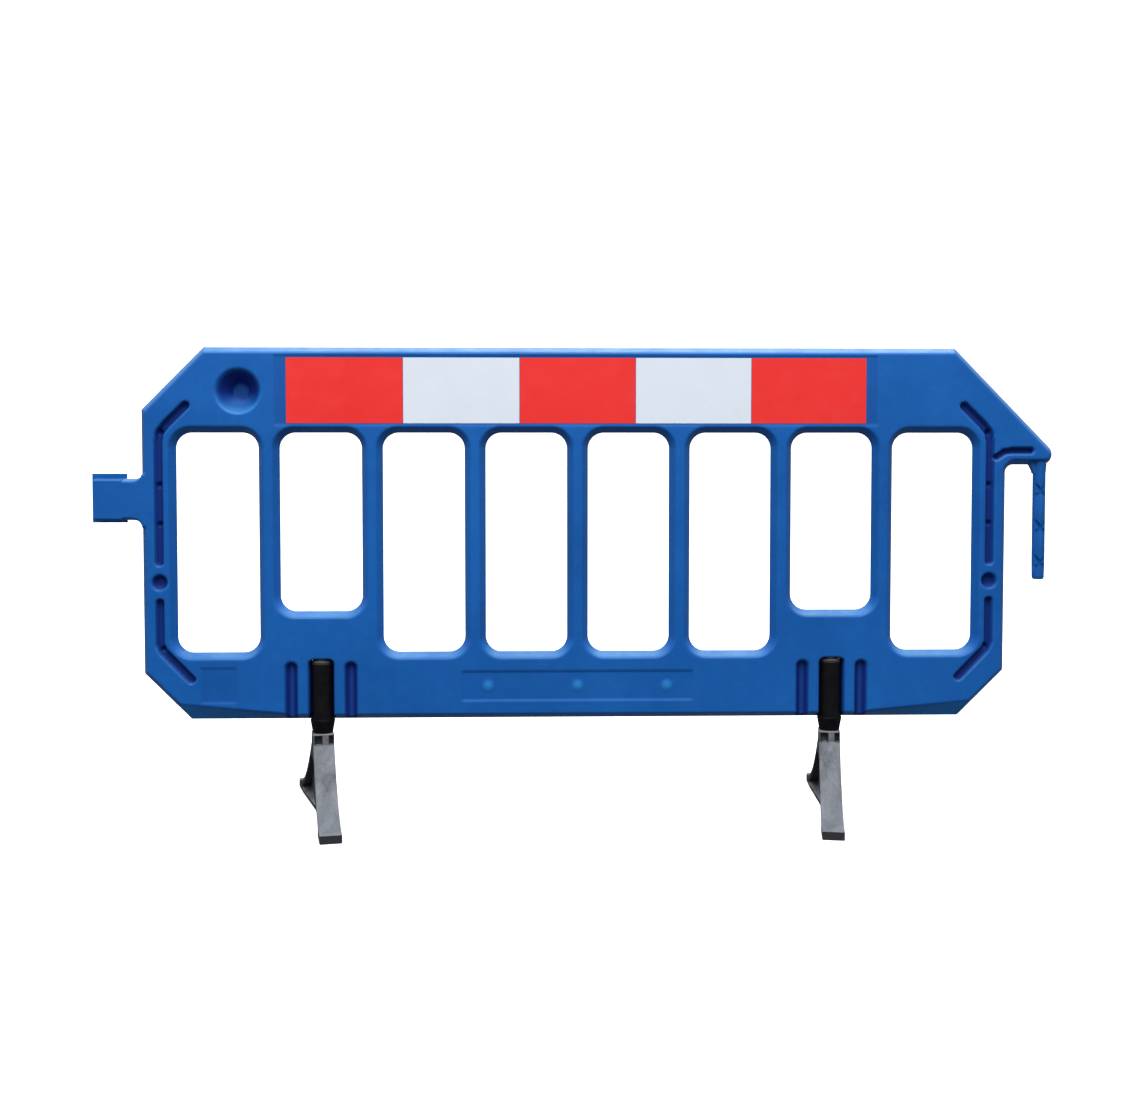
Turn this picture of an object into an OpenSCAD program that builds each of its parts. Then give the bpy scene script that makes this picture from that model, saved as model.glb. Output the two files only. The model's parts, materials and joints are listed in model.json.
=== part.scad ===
// Crowd control barrier: a hollow moulded panel on two swivelling feet.
// Millimetres, +Z up. X runs along the barrier, the front face looks toward -Y,
// and the origin is on the ground under the middle of the panel.
// The arm with the pin is at the right end and the sleeve for the next pin at the left.

/* [Panel] */
// Width of the panel without the coupling arm and sleeve
panel_width = 1856; // [1855:1:1857]
// Height of the top edge above the ground
top_z = 1000; // [999:1:1001]
// Height of the bottom edge above the ground
bottom_z = 204; // [202:1:206]
// Thickness between the front and the rear face
thickness = 45; // [44:0.5:46]
// How far the faces stand back from the parting line along the outer edge
edge_bevel = 12; // [8:0.5:14]
// Wall thickness of the moulding
skin = 3; // [2.5:0.1:3.5]
// Side of the 45 degree corner cut at the top left
top_cut = 132.5; // [125:0.5:138]
// Side of the 45 degree corner cuts at the bottom
bottom_cut = 99; // [90:1:104]

/* [Windows] */
// Distance between the centres of neighbouring windows
window_pitch = 219.5; // [218:0.1:220]
// Width of a window at the parting line
window_width = 174.5; // [170:0.5:176]
// Upper edge of the windows
window_top = 818.5; // [812:0.5:822]
// Lower edge of the long windows
window_bottom = 348; // [346:0.5:360]
// Lower edge of the two short windows above the feet
short_bottom = 436; // [430:0.5:450]
// Corner radius of a window at the parting line
window_radius = 34; // [28:1:38]
// How far the faces stand back from the parting line around a window
window_bevel = 13; // [10:0.5:14]

/* [Reflective fields] */
// Length of one reflective field
field_length = 247.3; // [240:0.1:247.5]
// Height of the reflective fields
field_height = 140; // [136:1:142]
// Height of the middle of the reflective fields above the ground
field_z = 908; // [906:1:910]
// Thickness of the reflective sheeting
field_thickness = 0.6; // [0.4:0.1:0.9]
// Depth of the recess that takes the sheeting
recess_depth = 2; // [1.2:0.1:2.2]

/* [Coupling] */
// Distance from the middle of the sleeve to the middle of the pin
coupling_pitch = 2000; // [1999:1:2001]
// Position of the pin axis along the barrier
pin_x = 1003; // [1001:0.5:1004]
// Radius of the pin
pin_radius = 13.5; // [13:0.5:14.5]
// Height of the lower end of the pin
pin_bottom = 501; // [495:1:520]
// Height of the underside of the arm
arm_z = 750; // [749:0.5:751]
// Width of the gap in the sleeve, across the barrier
sleeve_gap = 35; // [35:0.5:36]

/* [Feet] */
// Distance of a swivel axis from the middle of the barrier
foot_x = 548.75; // [548:0.25:549.5]
// Angle of the left foot from square to the panel
left_yaw = 12; // [0:0.5:20]
// Angle of the right foot from square to the panel
right_yaw = -10; // [-20:0.5:0]
// Length of a foot
foot_length = 500; // [460:5:520]
// Width of the top of a foot
foot_width = 45; // [44:0.5:46]
// Height of the neck of a foot
foot_height = 174; // [170:1:176]
// Height of the end faces of a foot
foot_end = 18; // [16:1:22]
// Radius of the swivel post
post_radius = 24.5; // [23.5:0.25:24.5]
// Height of the top of the swivel post
post_top = 327; // [325:0.5:328]
// Radius of the pivot bolt
bolt_radius = 6; // [5.5:0.5:6]

/* [Hidden] */
half = thickness / 2;
slant = skin * sqrt(1 + pow(edge_bevel / half, 2));
side = panel_width / 2;
arc_steps = 8;
corner_sides = 32;
slot_sides = 16;
pocket_sides = 24;
eps = 0.01;

windows = 8;
short_windows = [1, 6];

field_gap = 0.3;
recess_length = 1287;
recess_height = 148;

groove_width = 18;
groove_depth = 13;
groove_draft = 2;
arm_groove_width = 14;
groove_x = side - 39.5;
kiss_radius = 7;
kiss_depth = 20;
dimple_z = 500;
dimple_radius = 18;
dimple_depth = 14;
kiss_heights = [707, 624];

cone_x = -720;
cone_z = 907;
cone_rim = 50.5;
cone_floor = 17;
cone_depth = 39;

notch_half = 25;
notch_top = 331.5;
notch_radius = 8;
flank_offset = 63.5;
flank_width = 31;
flank_top = 331;
flank_depth = 14;
flank_draft = 11;

label_length = 494;
label_height = 63;
label_z = 275.5;
label_depth = 3;
boss_offsets = [-192, 0, 192];
boss_radius = 12;
plate_size = 75;
plate_x = -766;
plate_z = 279.5;
plate_depth = 2;

wedge_start = 600;
wedge_height = 34;

slope_start = 815;
nose_radius = 22;
nose_x = 1008;
nose_z = arm_z + nose_radius;
nose_offset = [slope_start - nose_x, top_z - nose_z];
nose_angle = atan2(nose_offset[1], nose_offset[0]) - acos(nose_radius / norm(nose_offset));
gap_radius = 17;
pin_flare = 20;
pin_flare_width = 1.5;
pin_root = 10;
pin_taper = 40;
pin_draft = 0.7;
gusset_reach = 9;
gusset_half = 9;
cross_heights = [693, 614, 537];
cross_tilts = [-40, 40];
cross_size = [8, 7.5, 40];

sleeve_x = pin_x - coupling_pitch;
sleeve_left = sleeve_x - 29.5;
sleeve_right = sleeve_x + 31;
sleeve_wall = 5;
web_low = 632;
web_high = 720.5;
web_bevel = 4.5;
fillet_low = 18;
fillet_high = 13;
rear_left = sleeve_x - 43;
rear_low = 626;
rear_high = 731;

insert_flats = 22;
insert_length = 40;
insert_pad = 22;
thrust_gap = 0.3;
cap_gap = 0.5;
bearing_gap = 0.06;
clear_gap = 0.6;
well_radius = 11.5;
well_top = 110;
socket_radius = 17;
socket_depth = 28;
neck_radius = 21.5;
flange_radius = 26.25;
flange_low = 200;
flange_high = 203.3;
shoulder_radius = 5;
washer_radius = 11;
washer_thickness = 2.5;
head_radius = 9;
head_height = 12;
key_flats = 10;
key_depth = 6;
head_bottom = well_top - thrust_gap - washer_thickness - head_height;
bolt_top = notch_top + 34;

neck_half = 26;
shoulder_u = 30;
shoulder_z = 150;
slope_steps = 14;
sole_height = 10;
flare_start = 20;
flare_end = 42;
waist = 16;
recess_reach = 190;
recess_top = 116;
strip_thickness = 12;
mark_low = 150;
mark_high = 170;

// Number of facets of a round feature; the walls left around it inside need only half.
function facets(sides, grow) = grow > 0 ? sides / 2 : sides;

// Turns flat XZ drawings upright: drawing x stays x, drawing y becomes z.
module upright() {
    rotate([90, 0, 0])
        children();
}

function unit(v) = v / norm(v);
function left_normal(a, b) = let (d = unit(b - a)) [-d[1], d[0]];

// Moves every edge of a counter-clockwise outline inward by the same distance.
function inset(points, distance) = [
    for (i = [0 : len(points) - 1])
        let (
            before = points[(i + len(points) - 1) % len(points)],
            after = points[(i + 1) % len(points)],
            n1 = left_normal(before, points[i]),
            n2 = left_normal(points[i], after)
        )
        points[i] + distance * (n1 + n2) / (1 + n1 * n2)
];

function arc(centre, radius, from, to, steps = arc_steps) = [
    for (i = [0 : steps])
        let (angle = from + (to - from) * i / steps)
        centre + radius * [cos(angle), sin(angle)]
];

// Slab with the full outline at the parting plane and an inset one on both faces.
module bevelled_slab(points, bevel, half_depth) {
    n = len(points);
    face = inset(points, bevel);
    vertices = concat(
        [for (p = face) [p[0], -half_depth, p[1]]],
        [for (p = points) [p[0], 0, p[1]]],
        [for (p = face) [p[0], half_depth, p[1]]]
    );
    faces = concat(
        [[for (i = [n - 1 : -1 : 0]) i]],
        [[for (i = [0 : n - 1]) 2 * n + i]],
        [for (ring = [0, 1], i = [0 : n - 1])
            [ring * n + i, ring * n + (i + 1) % n, (ring + 1) * n + (i + 1) % n, (ring + 1) * n + i]]
    );
    polyhedron(vertices, faces, convexity = 10);
}

// Outline of the panel with its coupling arm, counter-clockwise from the bottom left.
panel_outline = concat(
    [[-side + bottom_cut, bottom_z], [side - bottom_cut, bottom_z], [side, bottom_z + bottom_cut]],
    arc([side + gap_radius, arm_z - gap_radius], gap_radius, 180, 90),
    arc([nose_x, nose_z], nose_radius, -90, nose_angle),
    [[slope_start, top_z], [-side + top_cut, top_z], [-side, top_z - top_cut], [-side, bottom_z + bottom_cut]]
);

// Outline of the web between the panel and the sleeve.
web_outline = concat(
    [[sleeve_right - web_bevel, web_low]],
    arc([-side - fillet_low, web_low - fillet_low], fillet_low, 90, 0),
    [[-side + 26, web_low - fillet_low], [-side + 26, web_high + fillet_high]],
    arc([-side - fillet_high, web_high + fillet_high], fillet_high, 0, -90),
    [[sleeve_right - web_bevel, web_high]]
);

module rounded_rectangle(low, high, radius, sides = corner_sides) {
    hull()
        for (x = [low[0] + radius, high[0] - radius], z = [low[1] + radius, high[1] - radius])
            translate([x, z])
                circle(radius, $fn = sides);
}

// Repeats a front-face feature on the rear face.
module both_faces() {
    for (flip = [0, 1])
        mirror([0, flip, 0])
            children();
}

// Window opening, flaring from the parting plane toward both faces.
module window(x, bottom, grow) {
    low = [x - window_width / 2 - grow, bottom - grow];
    high = [x + window_width / 2 + grow, window_top + grow];
    flare = window_bevel * [1, 1];
    sides = facets(corner_sides, grow);
    both_faces()
        hull() {
            translate([0, eps, 0])
                upright()
                    linear_extrude(eps)
                        rounded_rectangle(low, high, window_radius + grow, sides);
            translate([0, -half, 0])
                upright()
                    linear_extrude(eps)
                        rounded_rectangle(low - flare, high + flare, window_radius + grow + window_bevel, sides);
        }
}

module all_windows(grow = 0) {
    for (i = [0 : windows - 1])
        window(
            (i - (windows - 1) / 2) * window_pitch,
            len(search(i, short_windows)) > 0 ? short_bottom : window_bottom,
            grow
        );
}

// Tapered round pocket sunk into the front face.
module pocket(x, z, rim, floor, depth, grow = 0) {
    translate([x, -half - eps, z])
        rotate([-90, 0, 0])
            cylinder(
                h = depth + eps + grow,
                r1 = rim + grow,
                r2 = floor + grow,
                $fn = facets(pocket_sides, grow)
            );
}

// Slot through a list of points, sunk into the front face.
// Each side leans in by draft on the way down to the floor.
module slot(path, width, depth, draft, grow = 0) {
    for (i = [0 : len(path) - 2])
        hull()
            for (p = [path[i], path[i + 1]])
                translate([p[0], -half - eps, p[1]])
                    rotate([-90, 0, 0])
                        cylinder(
                            h = depth + eps + grow,
                            r1 = width / 2 + grow,
                            r2 = width / 2 - draft + grow,
                            $fn = facets(slot_sides, grow)
                        );
}

// Grooves, kiss-off points and dimple on one side frame, drawn for the right side.
module frame_grooves(grow = 0) {
    slot([[831, 876], [groove_x - 16, 835], [groove_x - 3, 818], [groove_x, 800], [groove_x, 543]],
        groove_width, groove_depth, groove_draft, grow);
    slot([[groove_x, 456], [groove_x, 366], [groove_x - 7, 351], [824, 292]],
        groove_width, groove_depth, groove_draft, grow);
    for (z = kiss_heights)
        pocket(groove_x, z, kiss_radius, kiss_radius - 2, kiss_depth, grow);
    pocket(groove_x - 3, 820, kiss_radius, kiss_radius - 2, kiss_depth, grow);
    pocket(groove_x - 4, 357, kiss_radius, kiss_radius - 2, kiss_depth, grow);
    pocket(groove_x, dimple_z, dimple_radius, dimple_radius - 8, dimple_depth, grow);
}

module arm_groove(grow = 0) {
    slot([[groove_x + 14, 766], [groove_x + 30, 777], [groove_x + 48, 780], [977, 780]],
        arm_groove_width, groove_depth, groove_draft, grow);
}

module foot_notches(grow = 0) {
    for (x = [-foot_x, foot_x])
        translate([0, half + 1, 0])
            upright()
                linear_extrude(thickness + 2)
                    rounded_rectangle(
                        [x - notch_half - grow, bottom_z - 40],
                        [x + notch_half + grow, notch_top + grow],
                        notch_radius
                    );
}

module flank_grooves(grow = 0) {
    for (x = [-foot_x, foot_x], s = [-1, 1])
        slot([[x + s * flank_offset, flank_top - flank_width / 2], [x + s * flank_offset, bottom_z - 30]],
            flank_width, flank_depth, flank_draft, grow);
}

// Cut along the right part of the lower edge, which widens the front bevel toward the corner.
module bottom_wedge(grow = 0) {
    lift = 2 * grow;
    hull()
        for (end = [[wedge_start, edge_bevel], [side, 1.4 * wedge_height]])
            translate([end[0], 0, bottom_z + lift])
                rotate([90, 0, -90])
                    linear_extrude(eps)
                        polygon([[0, -2 - lift], [0, 0], [half + 1, end[1] * (half + 1) / half],
                            [half + 1, -2 - lift]]);
}

// Rectangular recess in the front face, placed by its middle.
module face_recess(centre, size, depth, grow) {
    translate([centre[0] - size[0] / 2 - grow, -half - 1, centre[1] - size[1] / 2 - grow])
        cube([size[0] + 2 * grow, depth + 1 + grow, size[1] + 2 * grow]);
}

// Shallow recesses for the sheeting, the label and the blank plate.
module recesses(grow = 0) {
    both_faces() {
        face_recess([0, field_z], [recess_length, recess_height], recess_depth, grow);
        face_recess([0, label_z], [label_length, label_height], label_depth, grow);
    }
    face_recess([plate_x, plate_z], [plate_size, plate_size], plate_depth, grow);
}

// Low bosses standing in the label recess.
module label_bosses() {
    for (x = boss_offsets)
        translate([x, -half + label_depth + eps, label_z])
            rotate([90, 0, 0])
                cylinder(h = label_depth - 0.2, r1 = boss_radius, r2 = boss_radius - 6, $fn = 24);
}

// Everything sunk into the moulding; grow leaves a wall around each hollow.
module hollows(grow = 0) {
    all_windows(grow);
    foot_notches(grow);
    both_faces() {
        frame_grooves(grow);
        mirror([1, 0, 0])
            frame_grooves(grow);
        arm_groove(grow);
        flank_grooves(grow);
    }
    pocket(cone_x, cone_z, cone_rim, cone_floor, cone_depth, grow);
}

// Hexagonal prism of a threaded insert, with two flats facing front and rear.
module insert_hexagon(x, bottom, length) {
    translate([x, 0, bottom])
        cylinder(h = length, r = insert_flats / sqrt(3), $fn = 6);
}

// Inside of the hollow moulding.
module cavity() {
    difference() {
        union() {
            bevelled_slab(inset(panel_outline, slant), edge_bevel * (half - skin) / half, half - skin);
            bevelled_slab(inset(web_outline, skin), web_bevel * (half - skin) / half, half - skin);
        }
        hollows(skin);
        recesses(skin);
        both_faces()
            for (s = [0, 1])
                mirror([s, 0, 0])
                    bottom_wedge(skin);
        for (x = [-foot_x, foot_x])
            translate([x - insert_pad, -half, notch_top - 5])
                cube([2 * insert_pad, thickness, insert_length + 12]);
    }
    for (x = [-110, 110])
        translate([x, 0, bottom_z - 1])
            cylinder(h = 2 * skin + 4, r = 3, $fn = 12);
}

// Rectangular tube at the left end that takes the pin of the next barrier.
module sleeve() {
    front = [[-half, web_low + web_bevel], [-half, web_high - web_bevel],
        [-half + sleeve_wall, web_high], [-half + sleeve_wall, web_low]];
    length = sleeve_right - sleeve_left;
    translate([sleeve_left, 0, 0])
        rotate([90, 0, 90])
            linear_extrude(length)
                polygon(front);
    translate([rear_left, half - sleeve_wall, rear_low])
        cube([sleeve_right - rear_left, sleeve_wall, rear_high - rear_low]);
    for (x = [sleeve_left, sleeve_right - sleeve_wall])
        translate([x, -half + sleeve_wall - eps, web_low])
            cube([sleeve_wall, sleeve_gap + 2 * eps, web_high - web_low]);
}

module panel() {
    color("#2460ac") {
        difference() {
            union() {
                bevelled_slab(panel_outline, edge_bevel, half);
                bevelled_slab(web_outline, web_bevel, half);
            }
            hollows();
            cavity();
            translate([sleeve_right - 2 * web_bevel, -half - 1, web_low - 1])
                cube([2 * web_bevel, thickness + 2, web_high - web_low + 2]);
            both_faces()
                for (s = [0, 1])
                    mirror([s, 0, 0])
                        bottom_wedge();
            difference() {
                recesses();
                both_faces()
                    label_bosses();
            }
            for (x = [-foot_x, foot_x])
                insert_hexagon(x, notch_top - 1, insert_length + 1);
        }
        sleeve();
    }
}

// Ramp that joins the inner side of the pin to the arm.
module pin_gusset() {
    inner = pin_x - pin_radius;
    translate([0, gusset_half, 0])
        upright()
            linear_extrude(2 * gusset_half)
                polygon([[inner - gusset_reach, arm_z + pin_root], [inner - gusset_reach, arm_z],
                    [inner - 6, arm_z - 5], [inner - 2, arm_z - 13], [inner, arm_z - pin_flare + 0.5],
                    [pin_x, arm_z - pin_flare + 0.5], [pin_x, arm_z + pin_root]]);
}

// Crossed kiss-off notches on the front and the rear of the pin.
module pin_crosses() {
    for (z = cross_heights, flip = [0, 1], tilt = cross_tilts)
        mirror([0, flip, 0])
            translate([pin_x, -pin_radius - 1, z])
                rotate([0, tilt, 0])
                    translate([-cross_size[0] / 2, 0, -cross_size[2] / 2])
                        cube(cross_size);
}

// Round coupling pin with a tapered lower end; its top fits the bevelled underside of the arm.
module coupling_pin() {
    flare = pin_radius + pin_flare_width;
    root = arm_z + pin_root - pin_bottom;
    color("#2460ac")
        difference() {
            union() {
                translate([pin_x, 0, pin_bottom])
                    rotate_extrude($fn = 64)
                        polygon([[0, 0], [pin_radius - 3, 0], [pin_radius - pin_draft, 4],
                            [pin_radius, pin_taper], [pin_radius, arm_z - pin_flare - pin_bottom],
                            [flare, arm_z - pin_bottom], [flare, root], [0, root]]);
                pin_gusset();
            }
            pin_crosses();
            bevelled_slab(panel_outline, edge_bevel, half);
        }
}

// One field of reflective sheeting in the recess, counted from the left.
module reflective_field(index, flip) {
    x = (index - 2) * (field_length + field_gap);
    mirror([0, flip, 0])
        translate([x - field_length / 2, -half + recess_depth - field_thickness, field_z - field_height / 2])
            cube([field_length, field_thickness, field_height]);
}

module red_field(index, flip) {
    color("#e63a36")
        reflective_field(index, flip);
}

module white_field(index, flip) {
    color("#dde5ee")
        reflective_field(index, flip);
}

module front_field_1() red_field(0, 0);
module front_field_2() white_field(1, 0);
module front_field_3() red_field(2, 0);
module front_field_4() white_field(3, 0);
module front_field_5() red_field(4, 0);
module rear_field_1() red_field(0, 1);
module rear_field_2() white_field(1, 1);
module rear_field_3() red_field(2, 1);
module rear_field_4() white_field(3, 1);
module rear_field_5() red_field(4, 1);

// Hexagonal threaded insert moulded into the ceiling of a foot notch.
module threaded_insert(x) {
    color("#b8924a")
        difference() {
            insert_hexagon(x, notch_top, insert_length);
            translate([x, 0, notch_top - 1])
                cylinder(h = bolt_top - notch_top + 1, r = bolt_radius, $fn = 48);
        }
}

// Dished washer that carries the panel on the swivel post; it fills the rounded top of the notch.
module thrust_washer(x) {
    fill = notch_radius - cap_gap;
    color("#202024")
        translate([x, 0, 0])
            rotate_extrude($fn = 96)
                polygon(concat(
                    [[bolt_radius, notch_top], [bolt_radius, post_top + thrust_gap],
                        [post_radius - shoulder_radius, post_top + thrust_gap]],
                    arc([post_radius - shoulder_radius, post_top - shoulder_radius],
                        shoulder_radius + cap_gap, 85, 40),
                    arc([notch_half - notch_radius, notch_top - notch_radius], fill, 15, 85),
                    [[notch_half - notch_radius, notch_top]]
                ));
}

// Socket-head bolt that the foot swivels on, standing in the well under the foot.
module pivot_bolt(x) {
    color("#a9adb2")
        translate([x, 0, 0]) {
            difference() {
                translate([0, 0, head_bottom])
                    cylinder(h = head_height, r = head_radius, $fn = 48);
                translate([0, 0, head_bottom - 1])
                    cylinder(h = key_depth + 1, r = key_flats / sqrt(3), $fn = 6);
            }
            translate([0, 0, head_bottom + head_height])
                cylinder(h = bolt_top - head_bottom - head_height, r = bolt_radius, $fn = 48);
        }
}

module bolt_washer(x) {
    color("#a9adb2")
        translate([x, 0, head_bottom + head_height])
            difference() {
                cylinder(h = washer_thickness, r = washer_radius, $fn = 48);
                translate([0, 0, -1])
                    cylinder(h = washer_thickness + 2, r = bolt_radius, $fn = 48);
            }
}

// Turned swivel post: spigot, neck, flange and round-shouldered shaft.
module swivel_post(x) {
    color("#15151a")
        translate([x, 0, 0])
            rotate_extrude($fn = 96)
                polygon(concat(
                    [[bolt_radius + bearing_gap, foot_height - socket_depth],
                        [socket_radius, foot_height - socket_depth],
                        [socket_radius, foot_height],
                        [neck_radius, foot_height],
                        [flange_radius, flange_low],
                        [flange_radius, flange_high],
                        [post_radius, flange_high]],
                    arc([post_radius - shoulder_radius, post_top - shoulder_radius], shoulder_radius, 0, 90),
                    [[bolt_radius + bearing_gap, post_top]]
                ));
}

// Height of the foot's top surface at a distance u from the swivel axis.
function slope_z(u) =
    let (t = (u - shoulder_u) / (foot_length / 2 - shoulder_u))
    foot_end + (shoulder_z - foot_end) * pow(1 - t, 2);

function slope_points(reach) = [
    for (i = [slope_steps : -1 : 0])
        let (u = shoulder_u + (reach - shoulder_u) * i / slope_steps)
        [u, slope_z(u)]
];

function mirrored(points) = [for (i = [len(points) - 1 : -1 : 0]) [-points[i][0], points[i][1]]];

// Side view of the foot, symmetrical about the swivel axis.
module side_view() {
    right = concat([[foot_length / 2, 0]], slope_points(foot_length / 2), [[neck_half, foot_height]]);
    polygon(concat(right, mirrored(right)));
}

// Side view of the recess in each flank, below the strip that forms the top.
module recess_view() {
    top = [for (p = slope_points(recess_reach)) [p[0], min(p[1] - strip_thickness, recess_top)]];
    right = concat([[recess_reach, -1]], top);
    polygon(concat(right, mirrored(right)));
}

// Plan of the foot, flared to the left toward the rear end.
module foot_plan() {
    half_width = foot_width / 2;
    half_length = foot_length / 2;
    polygon([[-half_width, -half_length], [half_width, -half_length], [half_width, half_length],
        [-flare_end + 5, half_length], [-flare_end, half_length - 6], [-half_width, flare_start]]);
}

// Plan of the sole: as the foot, but waisted in the middle.
module sole_plan() {
    intersection() {
        foot_plan();
        polygon([[-flare_end, -foot_length / 2], [foot_width, -foot_length / 2], [foot_width / 2, -recess_reach],
            [waist, -90], [waist, 90], [foot_width / 2, recess_reach], [foot_width, foot_length / 2],
            [-flare_end, foot_length / 2], [-flare_end, 225], [-waist, 10], [-waist, -90],
            [-foot_width / 2, -recess_reach]]);
    }
}

// Foot: arched beam with recessed flanks and a central well for the bolt.
module foot(x, yaw) {
    color("#7c8187")
        translate([x, 0, 0])
            rotate([0, 0, yaw])
                difference() {
                    union() {
                        difference() {
                            intersection() {
                                rotate([90, 0, 90])
                                    linear_extrude(2 * flare_end, center = true)
                                        side_view();
                                linear_extrude(foot_height)
                                    foot_plan();
                            }
                            for (s = [0, 1])
                                mirror([s, 0, 0])
                                    translate([waist, 0, 0])
                                        rotate([90, 0, 90])
                                            linear_extrude(flare_end)
                                                recess_view();
                        }
                        linear_extrude(sole_height)
                            sole_plan();
                    }
                    for (s = [-1, 1])
                        rotate([0, 0, s > 0 ? 0 : 180])
                            for (span = [[-19, -3], [11, 20]])
                                translate([span[0], -neck_half - 10, mark_low])
                                    cube([span[1] - span[0], 18, mark_high - mark_low]);
                    translate([0, 0, -1])
                        cylinder(h = well_top + 1, r = well_radius, $fn = 64);
                    cylinder(h = foot_height, r = bolt_radius + clear_gap, $fn = 48);
                    translate([0, 0, foot_height - socket_depth])
                        cylinder(h = socket_depth + 1, r = socket_radius, $fn = 96);
                }
}

module left_foot() foot(-foot_x, left_yaw);
module right_foot() foot(foot_x, right_yaw);
module left_post() swivel_post(-foot_x);
module right_post() swivel_post(foot_x);
module left_thrust_washer() thrust_washer(-foot_x);
module right_thrust_washer() thrust_washer(foot_x);
module left_bolt() pivot_bolt(-foot_x);
module right_bolt() pivot_bolt(foot_x);
module left_bolt_washer() bolt_washer(-foot_x);
module right_bolt_washer() bolt_washer(foot_x);
module left_insert() threaded_insert(-foot_x);
module right_insert() threaded_insert(foot_x);

panel();
coupling_pin();
front_field_1();
front_field_2();
front_field_3();
front_field_4();
front_field_5();
rear_field_1();
rear_field_2();
rear_field_3();
rear_field_4();
rear_field_5();
left_insert();
right_insert();
left_thrust_washer();
right_thrust_washer();
left_bolt();
right_bolt();
left_bolt_washer();
right_bolt_washer();
left_post();
right_post();
left_foot();
right_foot();
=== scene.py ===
"""Crowd control barrier: skins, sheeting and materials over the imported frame, with a studio around it."""

import json
import math

import bmesh
import bpy
import numpy as np
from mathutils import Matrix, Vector

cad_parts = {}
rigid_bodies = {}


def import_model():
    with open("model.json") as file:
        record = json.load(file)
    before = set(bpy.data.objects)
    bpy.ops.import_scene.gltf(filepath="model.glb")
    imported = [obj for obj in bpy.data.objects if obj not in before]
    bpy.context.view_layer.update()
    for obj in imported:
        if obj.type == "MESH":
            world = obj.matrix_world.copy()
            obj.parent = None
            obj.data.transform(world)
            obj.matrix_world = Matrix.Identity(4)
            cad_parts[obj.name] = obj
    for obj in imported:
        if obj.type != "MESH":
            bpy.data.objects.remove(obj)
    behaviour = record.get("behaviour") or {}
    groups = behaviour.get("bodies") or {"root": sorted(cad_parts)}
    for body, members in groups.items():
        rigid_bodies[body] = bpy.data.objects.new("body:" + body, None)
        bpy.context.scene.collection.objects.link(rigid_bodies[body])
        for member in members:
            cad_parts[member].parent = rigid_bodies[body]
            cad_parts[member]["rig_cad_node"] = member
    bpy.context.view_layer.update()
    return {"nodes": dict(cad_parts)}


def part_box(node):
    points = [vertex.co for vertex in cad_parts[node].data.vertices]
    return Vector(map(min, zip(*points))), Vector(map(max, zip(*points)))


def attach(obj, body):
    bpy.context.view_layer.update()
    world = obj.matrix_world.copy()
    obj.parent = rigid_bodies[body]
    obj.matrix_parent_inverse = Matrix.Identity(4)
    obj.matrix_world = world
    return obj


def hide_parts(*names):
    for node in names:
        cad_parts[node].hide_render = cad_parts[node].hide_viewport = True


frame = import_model()

MM = 0.001
NODES = frame["nodes"]
SIDES = ("left", "right")
FIELD_COUNT = 5

# ---------------------------------------------------------------- panel sizes, in millimetres
HALF = 22.5
SIDE = 928.0
TOP, BOTTOM = 1000.0, 204.0
TOP_CUT, BOTTOM_CUT, SLOPE_START = 132.5, 99.0, 815.0
EDGE_BEVEL, WINDOW_BEVEL, WEB_BEVEL, NOTCH_BEVEL = 12.0, 13.0, 4.5, 2.4
WEDGE_START, WEDGE_WIDENING = 600.0, 22.0 / 229.0

# coupling arm
ARM_Z, GAP_RADIUS = 750.0, 17.0
NOSE_X, NOSE_RADIUS = 1008.0, 22.0
NOSE_Z = ARM_Z + NOSE_RADIUS
NOSE_OFFSET = (SLOPE_START - NOSE_X, TOP - NOSE_Z)
NOSE_TURN = math.atan2(NOSE_OFFSET[1], NOSE_OFFSET[0]) - math.acos(NOSE_RADIUS / math.hypot(*NOSE_OFFSET))

# coupling sleeve, and the web between it and the panel
SLEEVE_LEFT, SLEEVE_RIGHT = -1026.5, -966.0
SLEEVE_WALL = 5.0
REAR_LEFT, REAR_LOW, REAR_HIGH = -1040.0, 626.0, 731.0
WEB_LOW, WEB_HIGH = 632.0, 720.5
WEB_FILLET_LOW, WEB_FILLET_HIGH = 18.0, 13.0
WEB_START, WEB_END = SLEEVE_RIGHT - 12, -SIDE + 26

# windows, counted from the left
WINDOW_COUNT, SHORT_WINDOWS = 8, (1, 6)
PITCH, WINDOW_WIDTH, WINDOW_RADIUS = 219.5, 174.5, 34.0
WINDOW_TOP, WINDOW_BOTTOM, SHORT_BOTTOM = 818.5, 348.0, 436.0

# foot notches, and the grooves on their flanks
FOOT_X = 548.75
NOTCH_HALF, NOTCH_TOP, NOTCH_RADIUS = 24.75, 331.5, 8.4
FLANK_OFFSET, FLANK_TOP = 63.5, 315.5
FLANK_WIDTH, FLANK_DEPTH, FLANK_DRAFT = 31.0, 14.0, 11.0
OPEN_END = BOTTOM - 60

# grooves of the side frames, for positive x, and of the arm
GROOVE_X = SIDE - 39.5
GROOVE_WIDTH, GROOVE_DEPTH, GROOVE_DRAFT = 18.0, 13.0, 4.0
UPPER_GROOVE = [(831, 876), (GROOVE_X - 16, 835), (GROOVE_X - 3, 818), (GROOVE_X, 800), (GROOVE_X, 543)]
LOWER_GROOVE = [(GROOVE_X, 456), (GROOVE_X, 366), (GROOVE_X - 7, 351), (824, 292)]
ARM_GROOVE = [(GROOVE_X + 14, 766), (GROOVE_X + 30, 777), (GROOVE_X + 48, 780), (977, 780)]
ARM_GROOVE_WIDTH = 14.0
KISS_POINTS = ((GROOVE_X, 707), (GROOVE_X, 624), (GROOVE_X - 3, 820), (GROOVE_X - 4, 357))
KISS_RIM, KISS_FLOOR, KISS_DEPTH = 8.5, 4.5, 20.0
DIMPLE = (GROOVE_X, 500)
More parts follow.
